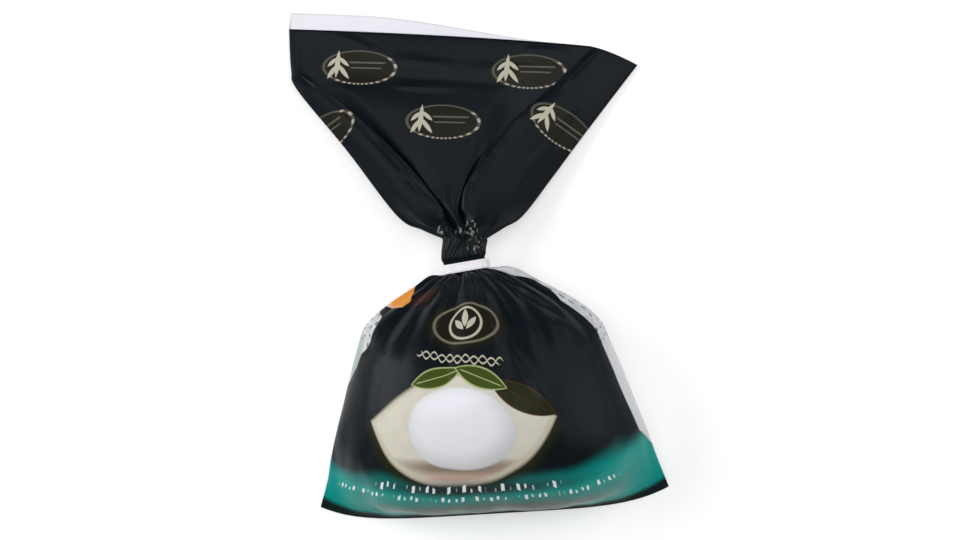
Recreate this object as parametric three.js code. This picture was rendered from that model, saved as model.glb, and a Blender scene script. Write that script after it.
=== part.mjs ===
// A filled film pouch, tied at its neck, lying on its back with its open mouth spread as a fan.
// Millimetres, +Z up, +Y from the sealed bottom to the mouth, +X to the right of the shown side.
// The origin is on the floor, under the middle of the whole pouch.

import * as THREE from 'three';

// Driving dimensions. Plan points are [x, y], counted from the middle of the flat layout.

const film = { columns: 88, half: 0.6 };             // facets round the film, half the edge's thickness

const seam = {                                       // the film is 160 wide laid flat
  left: [-72.5, -111],
  right: [87.5, -101.5],
  sag: 7.8,                                          // how far the seam bows out between its corners
  hold: 5,                                           // how late that bow begins, higher is later
};

const body = {
  rows: 30,
  height: 57,                                        // top of the filling above the floor
  peakY: -68,                                        // where that top is
  overhang: 1.5,                                     // belly past the seam, in the middle
  bellyZ: 16,                                        // height of the belly's outermost line
  edgeZ: 20,                                         // height of the widest line along the sides
  heelY: -31,                                        // where the back leaves the floor
  heelRound: 1.6,
  crown: 2.3,                                        // superellipse exponents of the long profile
  slope: 1.75,
  pleats: 9,
  pleatDepth: 1.4,
};

const shoulder = {
  left: { at: [-52.5, -30], round: 1.3 },
  right: { at: [57, -28.5], round: 1.5 },
  starts: 0.62,                                      // share of the rows below the shoulder
};

const neck = {
  x: -6,
  y: -0.5,                                           // middle of the band
  z: 17.5,
  tilt: THREE.MathUtils.degToRad(9.7),
  pinched: [9.3, 3.1],                               // half width and half thickness in the band
  free: [10.2, 4.1],                                 // the same above the band
  below: 2.7,                                        // pinched length either side of the middle
  top: 12.2,                                         // where the fan starts to spread
  pleats: 11,
  pleatDepth: 0.5,
};

const neckRows = [-neck.below - 0.4, 0, neck.below, neck.below + 1, neck.below + 2, neck.below + 5.5];

const band = { width: 4.6, wall: 0.8, gap: 0.3, tab: 0.9, tabHalf: 2 };

const fan = {
  rows: 18,
  leftEdge: [[-16.5, 12.2], [-25.5, 16], [-37.3, 22.7], [-60.3, 52.6], [-82.8, 80], [-86, 89.6], [-87, 108.6]],
  rightEdge: [[4, 12.2], [11.7, 17], [20.4, 22.7], [33.7, 40], [46.6, 57.4], [59.8, 74.8], [73, 92]],
  shoulderBow: 6.4,                                  // rise of the mouth's edge over its chord
  bowAt: 0.72,                                       // where that rise is greatest, from -1 to 1
  bowFalls: [1.7, 0.28],                             // its reach to the left and to the right
  mouthZ: 1.5,
  droop: 1.5,                                        // how fast the fan comes down to the floor
  backGap: 2.7,                                      // back leaf under the middle of the spread
  puff: 6,                                           // height of the three rounded panels
  puffAt: 0.3,
  lip: 7.5,                                          // back leaf past the front leaf's edge, at the left
  lipEnds: 0.39,                                     // where it has run out
  lipRows: 3,
};

const creases = { right: 14, left: 30 };             // columns of the two valleys on the front leaf
const creaseAtNeck = { right: 0.2, left: -0.16 };
const creaseAtMouth = { right: 0.78, left: -0.84 };

// Small helpers

const lerp = THREE.MathUtils.lerp;
const smoothstep = THREE.MathUtils.smoothstep;
const half = film.columns / 2;

// A quarter superellipse from [1, 0] to [0, 1], as t runs from 0 to 1.
function quarter(t, exponent) {
  const angle = t * Math.PI / 2;
  return [Math.cos(angle) ** (2 / exponent), Math.sin(angle) ** (2 / exponent)];
}

// Plan position across the ring, -1 left to 1 right, with the points close at the round edges.
function roundColumn(column) {
  return Math.cos(Math.PI * column / half);
}

// The same on the fan: the front leaf's columns keep to its two creases.
function fanColumn(column, t) {
  if (column > half) return -1 + 2 * (column - half) / half;
  const right = lerp(creaseAtNeck.right, creaseAtMouth.right, t);
  const left = lerp(creaseAtNeck.left, creaseAtMouth.left, t);
  if (column < creases.right) return lerp(1, right, column / creases.right);
  if (column < creases.left) {
    return lerp(right, left, (column - creases.right) / (creases.left - creases.right));
  }
  return lerp(left, -1, (column - creases.left) / (half - creases.left));
}

// Share of the way across the front leaf's three panels, 0 in a crease or an edge, 1 in a middle.
function panelRound(column) {
  const stops = [0, creases.right, creases.left, half];
  const panel = column < stops[1] ? 0 : column < stops[2] ? 1 : 2;
  const share = (column - stops[panel]) / (stops[panel + 1] - stops[panel]);
  return 1 - Math.abs(2 * share - 1) ** 2.6;
}

// One ring of the film. front and back are [y, z] of its middle line on each panel.
function ringPoints({ left, right, edgeZ, front, back, power, flat, across, ripple }) {
  const middle = (left[1] + right[1]) / 2;
  const points = [];
  for (let column = 0; column < film.columns; column += 1) {
    const s = across(column);
    const up = column <= half;
    const round = Math.sqrt(Math.max(0, 1 - s * s));
    const side = up ? front : back;
    const share = (1 + s) / 2;
    const leaf = edgeZ + (up ? film.half : -film.half) * round ** 0.35;
    const rise = up ? round ** power : Math.min(1, flat * round ** power);
    const z = lerp(leaf, side[1], rise) + ripple(column) * round ** 0.5;
    const y = lerp(left[1], right[1], share) + (side[0] - middle) * (1 - Math.abs(s) ** seam.hold);
    points.push([lerp(left[0], right[0], share), y, Math.max(0, z)]);
  }
  return points;
}

// Filled body, from the seam to the band

function bodyEdge(t, corner, side, end) {
  if (t < shoulder.starts) {
    const share = t / shoulder.starts;
    return [lerp(corner[0], side.at[0], share), lerp(corner[1], side.at[1], share)];
  }
  const [out, along] = quarter((t - shoulder.starts) / (1 - shoulder.starts), side.round);
  return [lerp(end[0], side.at[0], out), lerp(side.at[1], end[1], along)];
}

function frontProfile(t, seamY, endY) {
  const tuckEnds = 0.1;
  const crownEnds = 0.5;
  const bellyY = seamY - body.overhang;
  const endZ = neck.z + neck.pinched[1];
  if (t < tuckEnds) {
    const [out, along] = quarter(1 - t / tuckEnds, 2);
    return [lerp(seamY, bellyY, out), lerp(body.bellyZ, 2 * film.half, along)];
  }
  if (t < crownEnds) {
    const [out, along] = quarter((t - tuckEnds) / (crownEnds - tuckEnds), body.crown);
    return [lerp(body.peakY, bellyY, out), lerp(body.bellyZ, body.height, along)];
  }
  const [up, along] = quarter((t - crownEnds) / (1 - crownEnds), body.slope);
  return [lerp(body.peakY, endY, along), lerp(endZ, body.height, up)];
}

function backProfile(t, seamY, endY) {
  const heelAt = shoulder.starts;
  const endZ = neck.z - neck.pinched[1];
  if (t < heelAt) return [lerp(seamY, body.heelY, t / heelAt), 0];
  const [down, along] = quarter((t - heelAt) / (1 - heelAt), body.heelRound);
  return [lerp(body.heelY, endY, along), endZ * (1 - down)];
}

function bodyRing(t) {
  const ends = neckEnds(neckRows[0], neck.pinched[0], neck.tilt);
  const seamY = (seam.left[1] + seam.right[1]) / 2 - seam.sag;
  const endY = (ends.left[1] + ends.right[1]) / 2;
  const ear = smoothstep(t, 0, 0.3);
  const nearNeck = smoothstep(t, 0.45, 0.8) * (1 - smoothstep(t, 0.85, 1));
  const edgeZ = lerp(lerp(film.half, body.edgeZ, ear), neck.z, smoothstep(t, 0.7, 1));
  return ringPoints({
    left: bodyEdge(t, seam.left, shoulder.left, ends.left),
    right: bodyEdge(t, seam.right, shoulder.right, ends.right),
    edgeZ,
    front: frontProfile(t, seamY, endY),
    back: backProfile(t, seamY, endY),
    power: lerp(2.2, 0.92, ear),
    flat: lerp(1.25, 1, smoothstep(t, 0.75, 1)),
    across: roundColumn,
    ripple: (column) => body.pleatDepth * nearNeck * Math.sin(body.pleats * 2 * Math.PI * column / half),
  });
}

// Gathered neck. along is counted from the band's middle, in the band's own direction.

function neckEnds(along, halfWidth, tilt) {
  const turned = (x, y) => new THREE.Vector2(x, y).rotateAround(new THREE.Vector2(), tilt);
  const place = (x) => turned(x, along).add(new THREE.Vector2(neck.x, neck.y)).toArray();
  return { left: place(-halfWidth), right: place(halfWidth) };
}

function neckRing(along) {
  const above = smoothstep(along, neck.below, neck.below + 2);
  const upright = smoothstep(along, neck.below, neck.top - neck.y);
  const ends = neckEnds(along, lerp(neck.pinched[0], neck.free[0], above), neck.tilt * (1 - upright));
  const thick = lerp(neck.pinched[1], neck.free[1], above);
  const y = (ends.left[1] + ends.right[1]) / 2;
  return ringPoints({
    ...ends,
    edgeZ: neck.z,
    front: [y, neck.z + thick],
    back: [y, neck.z - thick],
    power: 0.6,
    flat: 1,
    across: (column) => lerp(roundColumn(column), fanColumn(column, 0), upright),
    ripple: (column) => neck.pleatDepth * above * Math.sin(neck.pleats * 2 * Math.PI * column / half),
  });
}

// Spread mouth

const leftCurve = new THREE.SplineCurve(fan.leftEdge.map(([x, y]) => new THREE.Vector2(x, y)));
const rightCurve = new THREE.SplineCurve(fan.rightEdge.map(([x, y]) => new THREE.Vector2(x, y)));

function fanRing(t) {
  const left = leftCurve.getPoint(t).toArray();
  const right = rightCurve.getPoint(t).toArray();
  const middle = (left[1] + right[1]) / 2;
  const edgeZ = fan.mouthZ + (neck.z - fan.mouthZ) * (1 - t) ** fan.droop;
  const thick = lerp(neck.free[1], film.half + 0.4, smoothstep(t, 0, 0.5));
  const puff = fan.puff * smoothstep(t, -0.1, fan.puffAt) * (1 - t) ** 0.8;
  const pull = fan.backGap * Math.sin(Math.PI * t);
  const points = ringPoints({
    left,
    right,
    edgeZ,
    front: [middle, edgeZ + thick],
    back: [middle, edgeZ - thick - pull],
    power: 0.6,
    flat: 1,
    across: (column) => fanColumn(column, t),
    ripple: (column) => (column <= half ? puff * panelRound(column) : 0),
  });
  return points.map((point, column) => mouthPoint(point, fanColumn(column, t), t, column > half));
}

// Bows the rows up towards the mouth's right shoulder, and lets the back leaf run past the front.
function mouthPoint([x, y, z], s, t, isBack) {
  const reach = fan.bowFalls[s > fan.bowAt ? 1 : 0];
  const bow = fan.shoulderBow * t ** 3 * Math.max(0, 1 - Math.abs((s - fan.bowAt) / reach) ** 1.5);
  const lastRows = smoothstep(t, 1 - fan.lipRows / fan.rows, 1);
  const lip = isBack ? fan.lip * lastRows * Math.max(0, (fan.lipEnds - s) / (1 + fan.lipEnds)) : 0;
  return [x, y + bow + lip, z];
}

// The film as one closed body: rings joined in order, and its two ends closed flat.
function filmGeometry(rings) {
  const count = film.columns;
  const index = [];
  const quad = (a, b, c, d) => index.push(a, b, c, a, c, d);
  for (let row = 0; row < rings.length - 1; row += 1) {
    for (let column = 0; column < count; column += 1) {
      const next = (column + 1) % count;
      quad(row * count + column, (row + 1) * count + column, (row + 1) * count + next, row * count + next);
    }
  }
  const last = (rings.length - 1) * count;
  for (let column = 0; column < half; column += 1) {
    const [a, b, c, d] = [column, column + 1, count - column - 1, (count - column) % count];
    if (column > 0) index.push(a, c, d, last + a, last + d, last + c);
    if (column < half - 1) index.push(a, b, c, last + a, last + c, last + b);
  }
  const geometry = new THREE.BufferGeometry();
  geometry.setAttribute('position', new THREE.Float32BufferAttribute(rings.flat(2), 3));
  geometry.setIndex(index);
  geometry.computeVertexNormals();
  return geometry;
}

function pouchGeometry() {
  const rings = [];
  for (let row = 0; row < body.rows; row += 1) rings.push(bodyRing(row / body.rows));
  for (const along of neckRows) rings.push(neckRing(along));
  for (let row = 0; row <= fan.rows; row += 1) rings.push(fanRing(row / fan.rows));
  return filmGeometry(rings);
}

// Band: a flat loop round the pinched neck, its ends welded in a short tab at the right.

function loopOutline(path, halfWidth, halfThick) {
  path.moveTo(-halfWidth + halfThick, -halfThick);
  path.absarc(halfWidth - halfThick, 0, halfThick, -Math.PI / 2, Math.PI / 2, false);
  path.absarc(-halfWidth + halfThick, 0, halfThick, Math.PI / 2, 1.5 * Math.PI, false);
  return path;
}

function bandGeometry() {
  const inner = neck.pinched.map((size) => size + band.gap);
  const outer = inner.map((size) => size + band.wall);
  const shape = new THREE.Shape();
  const start = Math.asin(band.tabHalf / outer[1]);
  shape.moveTo(-outer[0] + outer[1], -outer[1]);
  shape.absarc(outer[0] - outer[1], 0, outer[1], -Math.PI / 2, -start, false);
  shape.lineTo(outer[0] + band.tab, -band.tabHalf);
  shape.lineTo(outer[0] + band.tab, band.tabHalf);
  shape.absarc(outer[0] - outer[1], 0, outer[1], start, Math.PI / 2, false);
  shape.absarc(-outer[0] + outer[1], 0, outer[1], Math.PI / 2, 1.5 * Math.PI, false);
  shape.holes.push(loopOutline(new THREE.Path(), inner[0], inner[1]));
  const geometry = new THREE.ExtrudeGeometry(shape, {
    depth: band.width,
    bevelEnabled: false,
    curveSegments: 10,
  });
  geometry.translate(0, 0, -band.width / 2);
  geometry.rotateX(Math.PI / 2);
  return geometry;
}

function namedMesh(name, geometry, look) {
  const mesh = new THREE.Mesh(geometry, new THREE.MeshStandardMaterial(look));
  mesh.name = name;
  return mesh;
}

const pouch = namedMesh('bag', pouchGeometry(), { color: '#1d2226', roughness: 0.34, metalness: 0 });
const tie = namedMesh('band', bandGeometry(), { color: '#e4e2e6', roughness: 0.45, metalness: 0 });
tie.position.set(neck.x, neck.y, neck.z);
tie.rotation.z = neck.tilt;

const group = new THREE.Group();
group.add(pouch, tie);

// Moves the origin to the floor, under the middle of the bounding box.
group.updateMatrixWorld(true);
const box = new THREE.Box3().setFromObject(group, true);
group.position.set(-(box.min.x + box.max.x) / 2, -(box.min.y + box.max.y) / 2, -box.min.z);

export default group;
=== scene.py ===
import math

import bmesh
import bpy
import numpy as np
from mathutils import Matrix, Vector


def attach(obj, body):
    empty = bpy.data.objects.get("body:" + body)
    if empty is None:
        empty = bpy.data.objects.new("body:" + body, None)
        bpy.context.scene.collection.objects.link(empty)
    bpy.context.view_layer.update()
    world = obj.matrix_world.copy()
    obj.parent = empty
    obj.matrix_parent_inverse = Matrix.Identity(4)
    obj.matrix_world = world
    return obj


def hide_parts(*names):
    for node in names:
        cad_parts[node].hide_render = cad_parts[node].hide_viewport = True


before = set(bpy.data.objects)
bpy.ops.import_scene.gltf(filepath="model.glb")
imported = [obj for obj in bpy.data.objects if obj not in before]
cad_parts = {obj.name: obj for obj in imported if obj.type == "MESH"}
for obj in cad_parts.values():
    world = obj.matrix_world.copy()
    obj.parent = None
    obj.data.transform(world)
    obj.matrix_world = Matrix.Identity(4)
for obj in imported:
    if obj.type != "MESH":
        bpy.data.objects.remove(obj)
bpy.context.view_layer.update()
metre = 0.001          # one millimetre, the unit that the shape's sizes are written in


def toLinear(hexColour):
    values = [int(hexColour[i:i + 2], 16) / 255 for i in (1, 3, 5)]
    return tuple(v / 12.92 if v <= 0.04045 else ((v + 0.055) / 1.055) ** 2.4 for v in values) + (1.0,)


def nodeAdder(tree):
    # the one function that adds a node to this tree: add(kind, links, settings)
    def add(kind, *links, **settings):
        # links: one for each socket in order, and others in a dictionary by socket name or number;
        # each is a value, another node's output, or a node for its first output
        node = tree.nodes.new(kind if kind.startswith(("Geometry", "NodeGroup")) else "ShaderNode" + kind)
        for name, value in settings.items():
            setattr(node, name, value)
        for number, link in enumerate(links):
            for socket, value in (link if isinstance(link, dict) else {number: link}).items():
                value = value.outputs[0] if isinstance(value, bpy.types.Node) else value
                if isinstance(value, bpy.types.NodeSocket):
                    tree.links.new(value, node.inputs[socket])
                else:
                    node.inputs[socket].default_value = value
        return node
    return add


def newMaterial(name):
    material = bpy.data.materials.new(name)
    material.use_nodes = True
    material.node_tree.nodes.clear()
    return material, nodeAdder(material.node_tree)


def newObject(name, data):
    made = bpy.data.objects.new(name, data)
    bpy.context.scene.collection.objects.link(made)
    return made


def smooth(x, low, high):
    t = np.clip((np.asarray(x, float) - low) / (high - low), 0, 1)
    return t * t * (3 - 2 * t)


def mix(a, b, t):
    return a + (b - a) * t


# camera: straight down on the lying pouch, from far enough for a flat, long-lens look
view = dict(lens=100.0, sensor=36.0, distance=1.226, aim=(0.45 * metre, -1.4 * metre, 0.0), clip=(0.05, 20))


def makeCamera():
    data = bpy.data.cameras.new("studioCamera")
    data.lens = view["lens"]
    data.sensor_width = view["sensor"]
    data.clip_start, data.clip_end = view["clip"]
    camera = newObject("studioCamera", data)
    camera.location = Vector(view["aim"]) + Vector((0, 0, view["distance"]))
    bpy.context.scene.camera = camera
    print("camera placed")


# the pouch's own sizes, in mm, counted from the middle of its flat layout
pouch = dict(
    columns=320,               # facets round the film, half of them on the front panel
    bodyRows=120, neckRows=18, fanRows=72,
    leafHalf=0.35, leafEdge=0.35,   # half the thickness where the two leaves meet, and how round that edge is
    filmWall=0.25,             # the film, drawn thicker than its 0.08 mm so that its edge shows
    wallShare=0.15,            # where the leaves are too thin for that, the share of them that the film takes
    insideStops=0.87,          # the hollow between the leaves ends this far up the fan, above the tucks
    insideEnd=0.1, insideNarrows=0.4,   # how wide it is there, and over what share of its length it narrows
    seamLeft=(-72.5, -111.0), seamRight=(87.5, -101.5), seamBow=7.8, seamHold=5,
    height=57.0, peakY=-68.0, bellyInset=3.0, bellyZ=16.0, edgeZ=20.0,
    bellyEnds=0.1, peakAt=0.5, edgeRises=0.7, flatUntil=0.75,   # shares of the way from seam to neck
    heelY=-31.0, heelRound=1.6, crown=2.3, slope=1.75,
    earEnds=0.3, earPower=2.2, earFlat=1.25, sidePower=0.92,   # flat corners by the seam, then round sides
    shoulderLeft=(-52.5, -30.0), roundLeft=1.3,
    shoulderRight=(57.0, -28.5), roundRight=1.5, shoulderStarts=0.62,
    humpLeft=(0.915, 0.04, 2.7), humpRight=(0.92, 0.045, 3.4),   # where the film stands up beside the band
    neckAt=(-6.0, -0.5, 17.5), neckTilt=math.radians(9.7),
    pinched=(9.3, 3.1), free=(10.2, 4.1),          # half width and half thickness under the band and above it
    pinchBelow=2.7, pinchMargin=0.4, pinchEase=2, neckTop=12.2, neckPower=0.6,
)

# the loose film above the neck: a flat middle panel and two flanks folded over its sides
fan = dict(
    leftEdge=[(-16.5, 12.2), (-25.5, 16), (-37.3, 22.7), (-60.3, 52.6), (-82.8, 80), (-86, 89.6),
              (-87, 108.6)],
    rightEdge=[(4, 12.2), (11.7, 17), (20.4, 22.7), (33.7, 40), (46.6, 57.4), (59.8, 74.8), (73, 92)],
    mouthBow=6.4, bowAt=0.72, bowLeft=1.7, bowRight=0.28,
    mouthZ=1.5, mouthThick=1.0, droop=1.5, backGap=2.7, puff=6.0, puffAt=0.3, puffEnds=0.8, panelSharp=2.6,
    lip=7.5, lipEnds=(-0.6, 0.6), lipFrom=0.83,
    # the creases' places across the fan, from neck to mouth, and the mesh columns that follow them
    creaseRight=[(0, 0.16), (0.28, 0.04), (0.36, 0.0), (0.46, 0.22), (0.55, 0.4), (0.64, 0.51), (0.76, 0.585),
                 (0.88, 0.66), (1, 0.75)],
    creaseLeft=[(0, -0.2), (0.28, -0.14), (0.36, -0.2), (0.42, -0.36), (0.52, -0.54), (0.6, -0.66),
                (0.7, -0.82), (0.82, -0.93), (1, -0.95)],
    creaseColumns=(50, 110),
    tuckColumns=5, tuck=1.7, tuckLift=1.7, tuckValley=-0.8,   # how far and high a flank lies over the middle
    flankRamp=16, valleyStops=(4, 8, 13), valleyRidge=0.2,   # in columns from the tuck
    tuckStarts=(0.3, 0.44), tuckEnds=(0.68, 0.86),
)

# gathers: number round the film, depth, how far they run from the band, phase, towards body and fan
gathers = dict(
    body=[(30, 0.85, 15, 0.3), (17, 1.1, 34, 1.9), (9, 1.5, 62, 0.8)],
    fan=[(30, 0.85, 12, 0.3), (18, 0.8, 28, 2.4), (8, 0.7, 50, 1.1)],
    wander=4.0,                # how unevenly they are spaced, in columns
    crest=0.75, level=0.6,     # how rounded the crests are, and the wave's height that moves nothing
    bodyLength=125.0, fanLength=105.0, neckShare=0.55,
)

# single folds on the shown side: from, to, lift, width in mm; each fades in and out along its length
foldShape = dict(fadesIn=0.25, fadesOut=0.55, sharp=1.6)
bodyFolds = [
    ((10, -6.5), (44, -27), -2.8, 4.2), ((17, -7), (50, -24), 1.2, 4.5),
    ((11, -30), (33, -64), 1.5, 3.8), ((-2, -6), (-3, -34), -1.3, 2.2),
    ((-9, -6), (-33, -23), -2.2, 3.4), ((-27, -21), (-49, -49), 1.5, 5.0),
    ((2, -8), (8, -38), 0.7, 2.5), ((-12, -10), (-22, -40), -0.8, 3.0), ((-38, -24), (-54, -46), -1.0, 3.0),
]
fanFolds = [
    ((55, 100), (37, 80), 1.1, 2.4), ((-42, 95.5), (-4, 90), 1.0, 2.4), ((-10, 90.5), (40, 89), 0.9, 2.2),
    ((-40, 82), (-6, 81), 0.9, 2.2), ((-66, 106.5), (-44, 96.5), 0.9, 2.4), ((20, 99), (44, 98), 0.8, 2.2),
    ((-50, 87), (30, 82), -0.45, 2.4), ((5, 52), (-5, 37), 0.9, 1.6),
    ((-30, 37), (-36, 41), 0.8, 1.8), ((-52, 62), (-14, 20), 0.7, 1.8), ((48, 76), (10, 27), 0.5, 1.8),
    ((20, 46), (46, 72), 0.35, 4.0), ((-56, 70), (-30, 38), 0.35, 4.0), ((-34, 42), (-16, 25), -0.8, 1.6),
]

shift = (-0.25, 0.683)     # from the flat layout to the model's origin
columns = pouch["columns"]
half = columns // 2
columnIds = np.arange(columns)
isFront = columnIds <= half


def quarter(t, exponent):
    angle = t * math.pi / 2
    return math.cos(angle) ** (2 / exponent), math.sin(angle) ** (2 / exponent)


def splinePoint(points, t):
    # Catmull-Rom through the points, evenly in the point number
    last = len(points) - 1
    at = min(t * last, last - 1e-9)
    i = int(at)
    f = at - i
    p = [np.array(points[min(max(k, 0), last)], float) for k in (i - 1, i, i + 1, i + 2)]
    return p[1] + 0.5 * f * (p[2] - p[0] + f * (2 * p[0] - 5 * p[1] + 4 * p[2] - p[3]
                                                + f * (3 * (p[1] - p[2]) + p[3] - p[0])))


def roundAcross():
    return np.cos(np.pi * columnIds / half)


def softenAcross(values, passes):
    for _ in range(passes):
        values = np.concatenate([values[:1], (values[:-2] + 2 * values[1:-1] + values[2:]) / 4, values[-1:]])
    return values


def fanAcross(t, halfWidth=0):
    # where each column lies across the fan; at a tuck the columns run back under the flank
    right = np.interp(t, *zip(*fan["creaseRight"]))
    left = np.interp(t, *zip(*fan["creaseLeft"]))
    first, second = fan["creaseColumns"]
    n = fan["tuckColumns"]
    plain = np.interp(columnIds[:half + 1], [0, first, second, half], [1, right, left, -1])
    front = plain
    if halfWidth:
        over = fan["tuck"] / halfWidth
        stops = [0, first - n, first + n, second - n, second + n, half]
        places = [1, right - over, right + over, left - over, left + over, -1]
        front = mix(plain, softenAcross(np.interp(columnIds[:half + 1], stops, places), 3), tuckShare(t))
    back = -1 + 2 * (columnIds[half + 1:] - half) / half
    return np.concatenate([front, back])


def tuckShare(t):
    return smooth(t, *fan["tuckStarts"]) * (1 - smooth(t, *fan["tuckEnds"]))


def tuckHeight():
    # 1 on a flank's folded edge, below 0 in the valley beside it, and a low ridge past the valley
    first, second = fan["creaseColumns"]
    n, ramp, deep, ridge = fan["tuckColumns"], fan["flankRamp"], fan["tuckValley"], fan["valleyRidge"]
    low, high, over = fan["valleyStops"]
    inner, outer = first + n, second - n
    stops = [0, first - n - ramp, first - n, inner, inner + low, inner + high, inner + over,
             outer - over, outer - high, outer - low, outer, second + n, second + n + ramp, half]
    heights = [0, 0, 1, deep, deep, ridge, 0, 0, ridge, deep, deep, 1, 0, 0]
    front = np.interp(columnIds[:half + 1], stops, heights)
    return np.concatenate([softenAcross(front, 2), np.zeros(half - 1)])


def panelRound():
    # 0 in a crease or at an edge of the front leaf, 1 in the middle of each of its three panels
    stops = [0, *fan["creaseColumns"], half]
    share = np.interp(np.minimum(columnIds, half), stops, [0, 1, 2, 3]) % 1
    return np.where(isFront, 1 - np.abs(2 * share - 1) ** fan["panelSharp"], 0)


def ring(left, right, edgeZ, front, back, power, flat, across):
    middle = (left[1] + right[1]) / 2
    bend = np.sqrt(np.maximum(0, 1 - across ** 2))
    share = (1 + across) / 2
    leaf = edgeZ + np.where(isFront, 1, -1) * pouch["leafHalf"] * bend ** pouch["leafEdge"]
    rise = np.where(isFront, bend ** power, np.minimum(1, flat * bend ** power))
    z = mix(leaf, np.where(isFront, front[1], back[1]), rise)
    pull = np.where(isFront, front[0], back[0]) - middle
    y = mix(left[1], right[1], share) + pull * (1 - np.abs(across) ** pouch["seamHold"])
    return np.stack([mix(left[0], right[0], share), y, z], 1)


def neckEnds(along, halfWidth, tilt):
    c, s = math.cos(tilt), math.sin(tilt)
    x, y = pouch["neckAt"][:2]
    return [np.array([x + c * w - s * along, y + s * w + c * along]) for w in (-halfWidth, halfWidth)]


def bodyEdge(t, corner, side, roundness, end, hump):
    starts = pouch["shoulderStarts"]
    if t < starts:
        return mix(np.array(corner), np.array(side), t / starts)
    out, along = quarter((t - starts) / (1 - starts), roundness)
    at, spread, rise = hump
    lift = rise * math.exp(-((t - at) / spread) ** 2)
    return np.array([mix(end[0], side[0], out), mix(side[1], end[1], along) + lift])


def frontProfile(t, seamY, endY):
    p = pouch
    bellyY = seamY + p["bellyInset"]
    belly, peak = p["bellyEnds"], p["peakAt"]
    if t < belly:
        out, along = quarter(1 - t / belly, 2)
        return mix(seamY, bellyY, out), mix(p["bellyZ"], 2 * p["leafHalf"], along)
    if t < peak:
        out, along = quarter((t - belly) / (peak - belly), p["crown"])
        return mix(p["peakY"], bellyY, out), mix(p["bellyZ"], p["height"], along)
    up, along = quarter((t - peak) / (1 - peak), p["slope"])
    return mix(p["peakY"], endY, along), mix(p["neckAt"][2] + p["pinched"][1], p["height"], up)


def backProfile(t, seamY, endY):
    heelAt = pouch["shoulderStarts"]
    if t < heelAt:
        return mix(seamY, pouch["heelY"], t / heelAt), 0
    down, along = quarter((t - heelAt) / (1 - heelAt), pouch["heelRound"])
    return mix(pouch["heelY"], endY, along), (pouch["neckAt"][2] - pouch["pinched"][1]) * (1 - down)


def bodyRing(t):
    p = pouch
    left, right = neckEnds(-p["pinchBelow"] - p["pinchMargin"], p["pinched"][0], p["neckTilt"])
    seamY = (p["seamLeft"][1] + p["seamRight"][1]) / 2 - p["seamBow"]
    endY = (left[1] + right[1]) / 2
    ear = smooth(t, 0, p["earEnds"])
    return ring(
        bodyEdge(t, p["seamLeft"], p["shoulderLeft"], p["roundLeft"], left, p["humpLeft"]),
        bodyEdge(t, p["seamRight"], p["shoulderRight"], p["roundRight"], right, p["humpRight"]),
        mix(mix(p["leafHalf"], p["edgeZ"], ear), p["neckAt"][2], smooth(t, p["edgeRises"], 1)),
        frontProfile(t, seamY, endY), backProfile(t, seamY, endY),
        mix(p["earPower"], p["sidePower"], ear), mix(p["earFlat"], 1, smooth(t, p["flatUntil"], 1)),
        roundAcross())


def neckRing(along):
    p = pouch
    above = smooth(along, p["pinchBelow"], p["pinchBelow"] + p["pinchEase"])
    upright = smooth(along, p["pinchBelow"], p["neckTop"] - p["neckAt"][1])
    wide, thick = mix(np.array(p["pinched"]), np.array(p["free"]), above)
    left, right = neckEnds(along, wide, p["neckTilt"] * (1 - upright))
    y = (left[1] + right[1]) / 2
    z = p["neckAt"][2]
    across = mix(roundAcross(), fanAcross(0), upright)
    return ring(left, right, z, (y, z + thick), (y, z - thick), p["neckPower"], 1, across)


def fanRing(t):
    left = splinePoint(fan["leftEdge"], t)
    right = splinePoint(fan["rightEdge"], t)
    middle = (left[1] + right[1]) / 2
    across = fanAcross(t, (right[0] - left[0]) / 2)
    edgeZ = fan["mouthZ"] + (pouch["neckAt"][2] - fan["mouthZ"]) * (1 - t) ** fan["droop"]
    thick = mix(pouch["free"][1], fan["mouthThick"], smooth(t, 0, 0.5))
    backZ = edgeZ - thick - fan["backGap"] * math.sin(math.pi * t)
    points = ring(left, right, edgeZ, (middle, edgeZ + thick), (middle, backZ), pouch["neckPower"], 1, across)
    puff = fan["puff"] * smooth(t, 0, fan["puffAt"]) * (1 - t) ** fan["puffEnds"]
    points[:, 2] += puff * panelRound() * np.sqrt(np.maximum(0, 1 - across ** 2))
    points[:, 2] += fan["tuckLift"] * tuckShare(t) * tuckHeight()
    reach = np.where(across > fan["bowAt"], fan["bowRight"], fan["bowLeft"])
    bow = np.maximum(0, 1 - np.abs((across - fan["bowAt"]) / reach) ** 1.5)
    lip = np.where(isFront, 0, 1 - smooth(across, *fan["lipEnds"]))
    points[:, 1] += fan["mouthBow"] * t ** 3 * bow + fan["lip"] * smooth(t, fan["lipFrom"], 1) * lip
    return points


def gatherWave(count, phase):
    # rounded crests with narrow valleys between them
    wander = gathers["wander"] * (np.sin(columnIds * 6 * np.pi / columns + phase)
                                  + 0.6 * np.sin(columnIds * 14 * np.pi / columns + 2 * phase))
    wave = np.abs(np.sin(np.pi * count * (columnIds + wander) / columns + phase))
    return wave ** gathers["crest"] - gathers["level"]


def gatherRow(sets, distance):
    return sum(depth * math.exp(-(distance / reach) ** 2) * gatherWave(count, phase)
               for count, depth, reach, phase in sets)


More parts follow.
